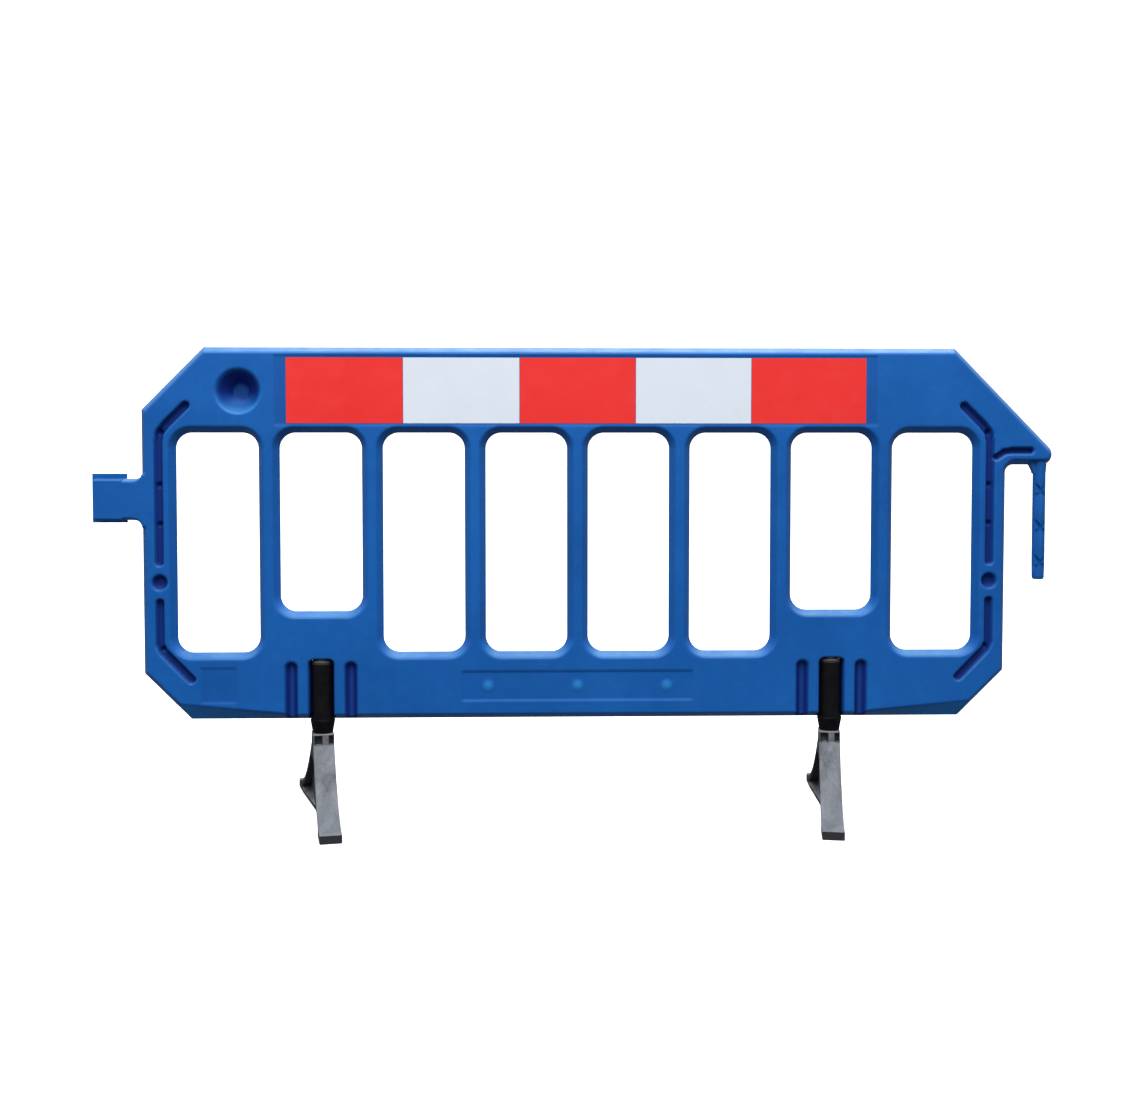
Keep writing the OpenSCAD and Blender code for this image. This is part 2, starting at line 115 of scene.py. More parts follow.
DIMPLE_RIM, DIMPLE_FLOOR, DIMPLE_DEPTH = 18.5, 10.0, 14.0

# recesses and the cone
RECESS_CENTRE, RECESS_SIZE, RECESS_DEPTH = (0.0, 908.0), (1287.0, 148.0), 2.0
LABEL_CENTRE, LABEL_SIZE, LABEL_DEPTH = (0.0, 275.5), (494.0, 63.0), 3.0
BOSS_PLACES, BOSS_RADIUS, BOSS_DROP = (-192, 0, 192), 15.0, 0.2
PLATE_CENTRE, PLATE_SIZE, PLATE_DEPTH = (-766.0, 279.5), (75.0, 75.0), 2.0
CONE_X, CONE_Z, CONE_RIM, CONE_FLOOR, CONE_DEPTH = -720.0, 907.0, 50.5, 17.0, 39.0

# mesh
GRID = 3.0
GRID_MARGIN = 6.0
SLOPE_STEP = 0.05
SNAP_REACH, SNAP_LEFTOVER = 0.45 * GRID, 0.2 * GRID


# ---------------------------------------------------------------- distances in the panel's plane
def arc(cx, cz, radius, start, stop, steps=10):
    """Points along an arc, angles in degrees."""
    angles = np.radians(np.linspace(start, stop, steps + 1))
    return [(cx + radius * math.cos(a), cz + radius * math.sin(a)) for a in angles]


def segment_distance(x, z, a, b):
    """Distance from every grid point to the segment a-b."""
    ax, az = a
    dx, dz = b[0] - ax, b[1] - az
    t = np.clip(((x - ax) * dx + (z - az) * dz) / (dx * dx + dz * dz), 0, 1)
    return np.hypot(x - ax - t * dx, z - az - t * dz)


def path_distance(x, z, path):
    """Distance to the nearest segment of an open path."""
    return np.minimum.reduce([segment_distance(x, z, a, b) for a, b in zip(path, path[1:])])


def polygon_distance(x, z, points):
    """Distance to a closed outline, positive inside it."""
    closed = points + points[:1]
    away = path_distance(x, z, closed)
    inside = np.zeros(x.shape, bool)
    for (ax, az), (bx, bz) in zip(closed, closed[1:]):
        if az == bz:
            continue
        crosses = (az > z) != (bz > z)
        inside ^= crosses & (x < (bx - ax) * (z - az) / (bz - az) + ax)
    return np.where(inside, away, -away)


def rectangle_distance(x, z, low, high, radius):
    """Distance to a rounded rectangle, positive inside it."""
    cx, cz = (low[0] + high[0]) / 2, (low[1] + high[1]) / 2
    qx = np.abs(x - cx) - (high[0] - low[0]) / 2 + radius
    qz = np.abs(z - cz) - (high[1] - low[1]) / 2 + radius
    outside = np.hypot(np.maximum(qx, 0), np.maximum(qz, 0))
    return radius - outside - np.minimum(np.maximum(qx, qz), 0)


def soft_min(a, b, width):
    """Smaller of two heights, with the ridge between them rounded off."""
    return np.minimum(a, b) - np.maximum(width - np.abs(a - b), 0) ** 2 / (4 * width)


def soft_step(t):
    """Smooth rise from 0 to 1."""
    t = np.clip(t, 0, 1)
    return t * t * (3 - 2 * t)


PANEL_OUTLINE = (
    [(-SIDE + BOTTOM_CUT, BOTTOM), (SIDE - BOTTOM_CUT, BOTTOM), (SIDE, BOTTOM + BOTTOM_CUT)]
    + arc(SIDE + GAP_RADIUS, ARM_Z - GAP_RADIUS, GAP_RADIUS, 180, 90)
    + arc(NOSE_X, NOSE_Z, NOSE_RADIUS, -90, math.degrees(NOSE_TURN))
    + [(SLOPE_START, TOP), (-SIDE + TOP_CUT, TOP), (-SIDE, TOP - TOP_CUT), (-SIDE, BOTTOM + BOTTOM_CUT)]
)
WEB_OUTLINE = (
    [(WEB_START, WEB_LOW)]
    + arc(-SIDE - WEB_FILLET_LOW, WEB_LOW - WEB_FILLET_LOW, WEB_FILLET_LOW, 90, 0)
    + [(WEB_END, WEB_LOW - WEB_FILLET_LOW), (WEB_END, WEB_HIGH + WEB_FILLET_HIGH)]
    + arc(-SIDE - WEB_FILLET_HIGH, WEB_HIGH + WEB_FILLET_HIGH, WEB_FILLET_HIGH, 0, -90)
    + [(WEB_START, WEB_HIGH)]
)


def window_distance(x, z):
    """Distance to the nearest window, positive inside the solid."""
    found = []
    for i in range(WINDOW_COUNT):
        middle = (i - (WINDOW_COUNT - 1) / 2) * PITCH
        low = SHORT_BOTTOM if i in SHORT_WINDOWS else WINDOW_BOTTOM
        corners = (middle - WINDOW_WIDTH / 2, low), (middle + WINDOW_WIDTH / 2, WINDOW_TOP)
        found.append(-rectangle_distance(x, z, *corners, WINDOW_RADIUS))
    return np.minimum.reduce(found)


def notch_distance(x, z):
    """Distance to the nearer foot notch, positive inside the solid."""
    corners = (FOOT_X - NOTCH_HALF, OPEN_END), (FOOT_X + NOTCH_HALF, NOTCH_TOP)
    return -rectangle_distance(np.abs(x), z, *corners, NOTCH_RADIUS)


def solid_distance(x, z):
    """Distance to the parting line of the whole moulding, positive inside it."""
    panel = polygon_distance(x, z, PANEL_OUTLINE)
    web = polygon_distance(x, z, WEB_OUTLINE)
    web = np.minimum(web, x - SLEEVE_RIGHT)
    return np.minimum.reduce([np.maximum(panel, web), window_distance(x, z), notch_distance(x, z)])


# ---------------------------------------------------------------- height of the two faces
def groove(x, z, path, width, depth, draft=GROOVE_DRAFT):
    """How far a groove along a path is sunk in."""
    return depth * soft_step((width / 2 + 1 - path_distance(x, z, path)) / draft)


def round_pocket(x, z, centre, rim, floor, depth, ease=0.12):
    """How far a tapered round pocket is sunk in; ease is the part of the wall taken by the rounded rim."""
    away = np.hypot(x - centre[0], z - centre[1])
    t = np.clip((rim - away) / (rim - floor), 0, 1)
    eased = np.where(t < ease, t * t / (2 * ease), t - ease / 2) / (1 - ease / 2)
    return depth * eased


def box_recess(x, z, centre, size, depth, edge=2.5, corner=2.0):
    """How far a shallow rectangular recess is sunk in."""
    low = centre[0] - size[0] / 2, centre[1] - size[1] / 2
    high = centre[0] + size[0] / 2, centre[1] + size[1] / 2
    return depth * soft_step(rectangle_distance(x, z, low, high, corner) / edge + 0.5)


def frame_grooves(x, z):
    """Grooves, kiss-off points and dimple of a side frame, for positive x."""
    sunk = [groove(x, z, path, GROOVE_WIDTH, GROOVE_DEPTH) for path in (UPPER_GROOVE, LOWER_GROOVE)]
    sunk += [round_pocket(x, z, place, KISS_RIM, KISS_FLOOR, KISS_DEPTH) for place in KISS_POINTS]
    sunk.append(round_pocket(x, z, DIMPLE, DIMPLE_RIM, DIMPLE_FLOOR, DIMPLE_DEPTH))
    return np.maximum.reduce(sunk)


def arm_groove(x, z):
    """Groove in the coupling arm."""
    return groove(x, z, ARM_GROOVE, ARM_GROOVE_WIDTH, GROOVE_DEPTH)


def flank_grooves(x, z):
    """The four rounded, open-ended grooves beside the foot notches."""
    sunk = []
    for place in (FOOT_X - FLANK_OFFSET, FOOT_X + FLANK_OFFSET):
        path = [(place, FLANK_TOP), (place, OPEN_END)]
        sunk.append(groove(np.abs(x), z, path, FLANK_WIDTH, FLANK_DEPTH, FLANK_DRAFT))
    return np.maximum.reduce(sunk)


def label_bosses(x, z):
    """Height of the three soft domes in the label recess, as a share of its depth."""
    domes = []
    for place in BOSS_PLACES:
        away = np.hypot(x - place, z - LABEL_CENTRE[1])
        domes.append(np.clip(1 - (away / BOSS_RADIUS) ** 2, 0, 1) ** 1.5)
    return np.maximum.reduce(domes)


def label_recess(x, z):
    """Shallow recess at the bottom with three domed bosses in it, which stop just short of the face."""
    sunk = box_recess(x, z, LABEL_CENTRE, LABEL_SIZE, LABEL_DEPTH)
    return np.maximum(sunk - (LABEL_DEPTH - BOSS_DROP) * label_bosses(x, z), 0)


def wedge_widening(x):
    """How much wider the bottom bevel is here, growing toward the lower corners."""
    return np.maximum((np.abs(x) - WEDGE_START) * WEDGE_WIDENING, 0)


def wedge_distance(x, z):
    """Height above the upper edge of the widened bottom bevel."""
    return z - BOTTOM - EDGE_BEVEL - wedge_widening(x)


def face_height(x, z, front):
    """How far the face stands from the parting plane."""
    height = soft_min(HALF, HALF * polygon_distance(x, z, PANEL_OUTLINE) / EDGE_BEVEL, 2.5)
    web = soft_min(HALF, HALF * polygon_distance(x, z, WEB_OUTLINE) / WEB_BEVEL, 3.0)
    height = np.maximum(height, web)
    height = soft_min(height, HALF * window_distance(x, z) / WINDOW_BEVEL, 2.5)
    height = soft_min(height, HALF * notch_distance(x, z) / NOTCH_BEVEL, 3.0)
    height = soft_min(height, HALF * (z - BOTTOM) / (EDGE_BEVEL + wedge_widening(x)), 2.0)
    sunk = [
        frame_grooves(np.abs(x), z),
        arm_groove(x, z),
        flank_grooves(x, z),
        label_recess(x, z),
        box_recess(x, z, RECESS_CENTRE, RECESS_SIZE, RECESS_DEPTH),
    ]
    if front:
        sunk.append(box_recess(x, z, PLATE_CENTRE, PLATE_SIZE, PLATE_DEPTH))
        sunk.append(round_pocket(x, z, (CONE_X, CONE_Z), CONE_RIM, CONE_FLOOR, CONE_DEPTH))
    height = soft_min(height, HALF - np.maximum.reduce(sunk), 1.0)
    # only the cone goes past the parting plane
    in_cone = front & (np.hypot(x - CONE_X, z - CONE_Z) < CONE_RIM)
    return np.maximum(height, np.where(in_cone, HALF - CONE_DEPTH, 0))


# ---------------------------------------------------------------- painted shade and painted highlights on the faces
DARK_DEPTH = 8.0
DARKEST_GROOVE, DARKEST_NOTCH, DARKEST_WEDGE = 0.9, 0.9, 0.6
RECESS_SHADE, PLATE_SHADE, CONE_FLOOR_SHADE = 0.22, 0.14, 0.55
NOTCH_SHADE_WIDTH, WEDGE_LINE_WIDTH, FLANK_LIGHT_WIDTH = 5.0, 4.0, 4.0
FLANK_LIGHT = 0.35
# strength and placing of the painted highlights on the lower corner bevels and the cone's lower rim
HIGHLIGHT_CORNER = 0.45
HIGHLIGHT_RIM_INSET, HIGHLIGHT_RIM_WIDTH = 2.5, 4.0


def cone_shade(x, z):
    """Shade inside the cone: darkest at the top of its wall, with a light lower rim and a paler floor."""
    cone = round_pocket(x, z, (CONE_X, CONE_Z), CONE_RIM, CONE_FLOOR, 1.0)
    upward = (z - CONE_Z) / np.maximum(np.hypot(x - CONE_X, z - CONE_Z), 1)
    lit_rim = 0.6 * np.clip(-upward, 0, 1)
    darkness = 0.4 + 0.6 * soft_step(upward + 0.95)
    wall = darkness * np.clip(3.5 * cone - lit_rim, 0, 1)
    return np.where(cone > 0.98, CONE_FLOOR_SHADE, wall)


def hollow_shade(x, z, front):
    """How dark the narrow hollows look inside, between 0 and 1; little light gets back out of them."""
    grooves = np.maximum(frame_grooves(np.abs(x), z), arm_groove(x, z)) / DARK_DEPTH
    off_centre = np.abs(np.abs(np.abs(x) - FOOT_X) - FLANK_OFFSET)
    flank_light = FLANK_LIGHT * np.clip(1.2 - off_centre / FLANK_LIGHT_WIDTH, 0, 1)
    wedge_line = np.clip(1 - np.abs(wedge_distance(x, z)) / WEDGE_LINE_WIDTH, 0, 1)
    shade = [
        np.minimum(grooves, DARKEST_GROOVE),
        np.minimum(flank_grooves(x, z) / DARK_DEPTH, 1) * (1 - flank_light),
        DARKEST_NOTCH * np.clip(1.2 - notch_distance(x, z) / NOTCH_SHADE_WIDTH, 0, 1),
        box_recess(x, z, RECESS_CENTRE, RECESS_SIZE, RECESS_SHADE),
        DARKEST_WEDGE * wedge_line * (wedge_widening(x) > 2),
    ]
    if front:
        shade.append(cone_shade(x, z))
        shade.append(box_recess(x, z, PLATE_CENTRE, PLATE_SIZE, PLATE_SHADE))
    return np.maximum.reduce(shade)


def painted_highlight_share(x, z, front):
    """Where the face gets a painted highlight: the bosses, the widened lower corner bevels and the cone's
    lower rim.
    """
    on_wedge = np.clip(-wedge_distance(x, z) / 5, 0, 1) * np.clip(wedge_widening(x) / 6, 0, 1)
    share = [label_bosses(x, z), HIGHLIGHT_CORNER * on_wedge]
    if front:
        away = np.hypot(x - CONE_X, z - CONE_Z)
        off_rim = np.abs(CONE_RIM - HIGHLIGHT_RIM_INSET - away) / HIGHLIGHT_RIM_WIDTH
        downward = np.clip((CONE_Z - z) / np.maximum(away, 1), 0, 1)
        share.append(np.clip(1 - off_rim, 0, 1) * downward)
    return np.maximum.reduce(share)


# ---------------------------------------------------------------- mesh of one skin
def snapped_grid():
    """Grid over the moulding, with the points near the parting line moved onto it."""
    low, high = SLEEVE_RIGHT - GRID_MARGIN, NOSE_X + NOSE_RADIUS + GRID_MARGIN
    xs = np.arange(low, high + GRID, GRID)
    zs = np.arange(BOTTOM - GRID_MARGIN, TOP + GRID_MARGIN + GRID, GRID)
    x, z = np.meshgrid(xs, zs, indexing="ij")
    step = SLOPE_STEP
    for _ in range(2):
        away = solid_distance(x, z)
        slope_x = (solid_distance(x + step, z) - solid_distance(x - step, z)) / (2 * step)
        slope_z = (solid_distance(x, z + step) - solid_distance(x, z - step)) / (2 * step)
        steep = np.maximum(slope_x**2 + slope_z**2, 0.25)
        near = np.abs(away) < SNAP_REACH
        x = x - np.where(near, away * slope_x / steep, 0)
        z = z - np.where(near, away * slope_z / steep, 0)
    away = solid_distance(x, z)
    away[np.abs(away) < SNAP_LEFTOVER] = 0.0
    return x, z, away


def skin_faces(x, z, away):
    """Points and faces that cover the inside of the parting line."""
    points = np.column_stack([x.ravel(), z.ravel()]).tolist()
    values = away.ravel()
    corner = np.arange(x.size).reshape(x.shape)
    cells = np.stack([corner[:-1, :-1], corner[1:, :-1], corner[1:, 1:], corner[:-1, 1:]], -1).reshape(-1, 4)
    inside = values[cells] >= 0
    faces = cells[inside.all(1)].tolist()
    cut = {}
    for cell in cells[inside.any(1) & ~inside.all(1)].tolist():
        ring = []
        for a, b in zip(cell, cell[1:] + cell[:1]):
            if values[a] >= 0:
                ring.append(a)
            if (values[a] > 0 > values[b]) or (values[a] < 0 < values[b]):
                key = (min(a, b), max(a, b))
                if key not in cut:
                    t = values[a] / (values[a] - values[b])
                    cut[key] = len(points)
                    points.append([points[a][k] + t * (points[b][k] - points[a][k]) for k in (0, 1)])
                ring.append(cut[key])
        if len(ring) > 2:
            faces.append(ring)
    used = sorted({i for face in faces for i in face})
    renumber = {old: new for new, old in enumerate(used)}
    return np.array([points[i] for i in used]), [[renumber[i] for i in face] for face in faces]


def panel_skin(name, flat, faces, front):
    """One half of the blow-moulded panel, from the parting line to the face."""
    x, z = flat[:, 0], flat[:, 1]
    sign = -1 if front else 1
    places = np.column_stack([x, sign * face_height(x, z, front), z]) * MM
    order = faces if front else [face[::-1] for face in faces]
    mesh = bpy.data.meshes.new(name)
    mesh.from_pydata(places.tolist(), [], order)
    # per point: how much painted shade and how much painted highlight the face gets
    shares = {"hollow_shade": hollow_shade(x, z, front), "painted_highlight": painted_highlight_share(x, z, front)}
    for label, values in shares.items():
        mesh.attributes.new(label, "FLOAT", "POINT").data.foreach_set("value", values)
    mesh.shade_smooth()
    mesh.update()
    return add_piece(name, mesh)


def add_piece(name, mesh):
    """Adds a mesh to the scene as an object of its own."""
    obj = bpy.data.objects.new(name, mesh)
    bpy.context.scene.collection.objects.link(obj)
    return obj


# ---------------------------------------------------------------- smaller pieces
def ring_of(points, height):
    """Ring of points in metres, from a plan in millimetres at one height."""
    return [(px * MM, py * MM, height * MM) for px, py in points]


def rounded_plan(low, high, left, right, steps=6):
    """Rectangle in plan, counter-clockwise; left and right are the corner radii at those ends."""
    corners = [
        (high[0] - right, high[1] - right, right, 0),
        (low[0] + left, high[1] - left, left, 90),
        (low[0] + left, low[1] + left, left, 180),
        (high[0] - right, low[1] + right, right, 270),
    ]
    return [p for cx, cy, radius, start in corners for p in arc(cx, cy, radius, start, start + 90, steps)]


def lofted(bm, rings, closed=True):
    """Joins rings of equally many points by quads; closed joins the last ring to the first."""
    made = [[bm.verts.new(p) for p in ring] for ring in rings]
    pairs = list(zip(made, made[1:] + made[:1])) if closed else list(zip(made, made[1:]))
    for lower, upper in pairs:
        count = len(lower)
        for i in range(count):
            after = (i + 1) % count
            bm.faces.new((lower[i], lower[after], upper[after], upper[i]))
    return made


def sleeve():
    """Coupling sleeve: an open tube with a chamfered outside and a taller, longer rear wall."""
    low, high = (SLEEVE_LEFT, -HALF), (SLEEVE_RIGHT, HALF - 0.5)
    inner_low = SLEEVE_LEFT + SLEEVE_WALL, -HALF + SLEEVE_WALL
    inner_high = SLEEVE_RIGHT - SLEEVE_WALL, HALF - SLEEVE_WALL
    # the chamfer leaves 1.5 mm of the wall at its rim; the corners at the web stay nearly square
    tuck = SLEEVE_WALL - 1.5
    square = 0.2
    outside = rounded_plan(low, high, 1.6, square)
    shoulder = rounded_plan((low[0] + tuck, low[1] + tuck), (high[0] - square, high[1] - tuck), 1.2, square)
    inside = rounded_plan(inner_low, inner_high, 2.5, 2.5)
    bm = bmesh.new()
    lofted(bm, [
        ring_of(outside, WEB_LOW + WEB_BEVEL),
        ring_of(outside, WEB_HIGH - WEB_BEVEL),
        ring_of(shoulder, WEB_HIGH),
        ring_of(inside, WEB_HIGH),
        ring_of(inside, WEB_LOW),
        ring_of(shoulder, WEB_LOW),
    ])
    rear = rounded_plan((REAR_LEFT, HALF - SLEEVE_WALL + 0.3), (SLEEVE_RIGHT, HALF), 1.5, 1.5)
    made = lofted(bm, [ring_of(rear, REAR_LOW), ring_of(rear, REAR_HIGH)], closed=False)
    bm.faces.new(made[0][::-1])
    bm.faces.new(made[1])
    piece = finished_piece("coupling_sleeve", bm)
    round_edges(piece, width_mm=0.8)
    return piece


def finished_piece(name, bm):
    """Turns a bmesh into a smooth-shaded piece with its faces pointing outward."""
    bmesh.ops.recalc_face_normals(bm, faces=bm.faces)
    mesh = bpy.data.meshes.new(name)
    bm.to_mesh(mesh)
    bm.free()
    mesh.shade_smooth()
    return add_piece(name, mesh)


def round_edges(obj, width_mm, segments=3, angle=32):
    """Rounds the sharp edges and keeps flat faces flat."""
    weld = obj.modifiers.new("weld", "WELD")
    weld.merge_threshold = 0.01 * MM
    bevel = obj.modifiers.new("edges", "BEVEL")
    bevel.width = width_mm * MM
    bevel.segments = segments
    bevel.limit_method = "ANGLE"
    bevel.angle_limit = math.radians(angle)
    bevel.miter_outer = "MITER_ARC"
    bevel.harden_normals = True


def ripple(x, z, seed):
    """Slow waves of a hand-laid sheet, between -1 and 1."""
    total = np.sin(x * 31 + seed * 1.7) * np.sin(z * 43 + seed * 2.3)
    total += 0.6 * np.sin(x * 73 + z * 57 + seed) + 0.3 * np.sin(z * 131 - x * 97 + seed * 3.1)
    return total / 1.9


def sheeting(node, index, front, columns=64, rows=40):
    """Reflective sheeting over one CAD field: a thin sheet with sharp edges and slight waves."""
    low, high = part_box(node)
    inset, ripple_depth = 0.4 * MM, 0.12 * MM
    sign = -1 if front else 1
    face = low.y if front else high.y
    back = high.y if front else low.y
    bm = bmesh.new()
    grid = {}
    for i, x in enumerate(np.linspace(low.x + inset, high.x - inset, columns)):
        for k, z in enumerate(np.linspace(low.z + inset, high.z - inset, rows)):
            sink = ripple_depth * (1 + float(ripple(x, z, index)))
            grid[i, k] = bm.verts.new((x, face - sign * sink, z))
    for i in range(columns - 1):
        for k in range(rows - 1):
            ring = [grid[i, k], grid[i + 1, k], grid[i + 1, k + 1], grid[i, k + 1]]
            bm.faces.new(ring if front else ring[::-1])
    rim = [e for e in bm.edges if e.is_boundary]
    for edge in rim:
        edge.smooth = False
    made = bmesh.ops.extrude_edge_only(bm, edges=rim)["geom"]
    for vert in (g for g in made if isinstance(g, bmesh.types.BMVert)):
        vert.co.y = back
    piece = finished_piece(node + "_sheet", bm)
    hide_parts(node)
    return piece


# ---------------------------------------------------------------- materials
class Painter:
    """Short names for the nodes that the materials share."""

    def __init__(self, name):
        self.material = bpy.data.materials.new(name)
        self.material.use_nodes = True
        self.tree = self.material.node_tree
        self.shader = self.tree.nodes["Principled BSDF"]
        self.place = self.tree.nodes.new("ShaderNodeTexCoord").outputs["Object"]

    def link(self, source, target):
        """Joins an output to an input."""
        self.tree.links.new(source, target)

    def stretched(self, scale):
        """Coordinates scaled differently along each axis."""
        mapping = self.tree.nodes.new("ShaderNodeMapping")
        mapping.inputs["Scale"].default_value = scale
        self.link(self.place, mapping.inputs["Vector"])
        return mapping.outputs["Vector"]

    def noise(self, scale, detail=4.0, rough=0.55, vector=None, distortion=0.0):
        """Cloudy noise between 0 and 1."""
        node = self.tree.nodes.new("ShaderNodeTexNoise")
        node.inputs["Scale"].default_value = scale
        node.inputs["Detail"].default_value = detail
        node.inputs["Roughness"].default_value = rough
        node.inputs["Distortion"].default_value = distortion
        self.link(vector or self.place, node.inputs["Vector"])
        return node.outputs["Fac"]

    def cells(self, scale):
        """Distance to the middle of the nearest of many small cells."""
        node = self.tree.nodes.new("ShaderNodeTexVoronoi")
        node.inputs["Scale"].default_value = scale
        self.link(self.place, node.inputs["Vector"])
        return node.outputs["Distance"]

    def ramp(self, value, low, high, start=0.0, stop=1.0):
        """Value that goes from start to stop while the input goes from low to high."""
        node = self.tree.nodes.new("ShaderNodeMapRange")
        node.inputs["From Min"].default_value = low
        node.inputs["From Max"].default_value = high
        node.inputs["To Min"].default_value = start
        node.inputs["To Max"].default_value = stop
        self.link(value, node.inputs["Value"])
        return node.outputs["Result"]

    def math(self, operation, a, b):
        """One sum or product of outputs or numbers."""
        node = self.tree.nodes.new("ShaderNodeMath")
        node.operation = operation
        for socket, value in zip(node.inputs, (a, b)):
            if isinstance(value, (int, float)):
                socket.default_value = value
            else:
                self.link(value, socket)
        return node.outputs[0]

    def mix(self, factor, a, b):
        """Blend of two colours, each an output or three numbers."""
        node = self.tree.nodes.new("ShaderNodeMix")
        node.data_type = "RGBA"
        self.link(factor, node.inputs["Factor"])
        color_a, color_b, blended = node.inputs[6], node.inputs[7], node.outputs[2]
        for socket, value in ((color_a, a), (color_b, b)):
            if isinstance(value, tuple):
                socket.default_value = (*value, 1)
            else:
                self.link(value, socket)
        return blended

    def drawn(self, color, share, amount, toward):
        """Colour drawn toward another one, by a share of an amount."""
        return self.mix(self.math("MULTIPLY", share, amount), color, toward)

    def attribute(self, name):
        """Value that a mesh carries at its points, 0 where it carries none."""
        node = self.tree.nodes.new("ShaderNodeAttribute")
        node.attribute_name = name
        return node.outputs["Fac"]

    def edges(self, low, high):
        """Where the surface is convex, as along worn edges; with low above high, where it is concave."""
        node = self.tree.nodes.new("ShaderNodeNewGeometry")
        return self.ramp(node.outputs["Pointiness"], low, high)

    def upward_part(self, vector, low, high):
        """Upward part of a vector, as a share that grows from low to high."""
        split = self.tree.nodes.new("ShaderNodeSeparateXYZ")
        self.link(vector, split.inputs["Vector"])
        return self.ramp(split.outputs["Z"], low, high)

    def facing_up(self, low, high):
        """Share of the surface that faces upward."""
        geometry = self.tree.nodes.new("ShaderNodeNewGeometry")
        return self.upward_part(geometry.outputs["Normal"], low, high)

    def bump(self, height, distance_mm, strength, below=None):
        """Normal of a fine relief, on top of another one if given."""
        node = self.tree.nodes.new("ShaderNodeBump")
        node.inputs["Strength"].default_value = strength
        node.inputs["Distance"].default_value = distance_mm * MM
        self.link(height, node.inputs["Height"])
        if below is not None:
            self.link(below, node.inputs["Normal"])
        return node.outputs["Normal"]

    def finish(self, color, roughness, normal, **settings):
        """Links the shader's inputs, sets its constant ones and returns the material."""
        self.link(color, self.shader.inputs["Base Color"])
        self.link(roughness, self.shader.inputs["Roughness"])
        self.link(normal, self.shader.inputs["Normal"])
        for key, value in settings.items():
            self.shader.inputs[key.replace("_", " ")].default_value = value
        return self.material


def blue_plastic():
    """Blow-moulded polyethylene: fine peel, slow colour drift, handling scuffs and pale worn edges, with
    painted shade in creases and hollows and painted highlights.
    """
    p = Painter("blue_polyethylene")
    cloud = p.noise(2.6, 3, 0.5, distortion=0.6)
    mottle = p.noise(38, 5, 0.6)
    color = p.mix(p.ramp(cloud, 0.32, 0.68), (0.0042, 0.085, 0.335), (0.0075, 0.112, 0.415))
    color = p.mix(p.ramp(mottle, 0.45, 0.8, 0, 0.22), color, (0.011, 0.155, 0.48))
    flow = p.noise(9, 4, 0.6, p.stretched((1.0, 1.0, 7.0)))
    color = p.mix(p.ramp(flow, 0.6, 0.78, 0, 0.2), color, (0.0035, 0.064, 0.27))
    scratch = p.noise(34, 2, 0.4, p.stretched((1.0, 1.0, 22.0)), distortion=1.2)
    scratch = p.ramp(scratch, 0.7, 0.74)
    color = p.drawn(color, scratch, 0.14, (0.09, 0.3, 0.6))
    worn_edges = p.edges(0.53, 0.62)
    color = p.drawn(color, worn_edges, 0.3, (0.05, 0.28, 0.6))
    # upward faces paler: partly dust, partly painted highlight from the light above
    dust_and_top_highlight = p.math("MULTIPLY", p.facing_up(0.4, 0.95), p.ramp(p.noise(16, 4), 0.35, 0.7, 0.12, 0.32))
    color = p.mix(dust_and_top_highlight, color, (0.2, 0.46, 0.5))
    # painted highlights on the bosses, the lower corner bevels and the cone's lower rim
    color = p.drawn(color, p.attribute("painted_highlight"), 0.6, (0.028, 0.26, 0.62))
    # painted shade in the concave creases
    crease_shade = p.edges(0.485, 0.42)
    color = p.drawn(color, crease_shade, 0.7, (0.001, 0.022, 0.14))
    hollow = p.attribute("hollow_shade")
    color = p.drawn(color, hollow, 0.95, (0.0005, 0.0125, 0.155))
    rough = p.ramp(p.noise(22, 4), 0.3, 0.7, 0.34, 0.48)
    rough = p.math("ADD", rough, p.math("MULTIPLY", hollow, 0.3))
    grain = p.bump(p.noise(900, 2, 0.5), 0.05, 0.6)
    peel = p.bump(p.noise(85, 3, 0.5), 0.2, 0.6, grain)
    wave = p.bump(p.noise(11, 2, 0.5), 1.4, 0.5, peel)
    return p.finish(color, rough, wave, Specular_IOR_Level=0.2)


def sheet_material(name, base, shade, glow):
    """Reflective sheeting: fine cells under a clear face, with faint cloudy wear."""
    p = Painter(name)
    fine = p.cells(420)
    cloud = p.noise(7, 3, 0.5, distortion=0.5)
    color = p.mix(p.ramp(fine, 0.0, 0.75, 0, 0.12), base, shade)
    color = p.mix(p.ramp(cloud, 0.35, 0.7, 0, 0.45), color, shade)
    shine = p.noise(16, 4, 0.55)
    color = p.mix(p.ramp(shine, 0.5, 0.85, 0, 0.3), color, glow)
    rough = p.ramp(p.noise(30, 4), 0.3, 0.7, 0.26, 0.42)
    cell_bump = p.bump(fine, 0.02, 0.3)
    wave = p.bump(p.noise(14, 2, 0.5), 0.6, 0.5, cell_bump)
    return p.finish(color, rough, wave, Specular_IOR_Level=0.35, Coat_Weight=0.08, Coat_Roughness=0.2)


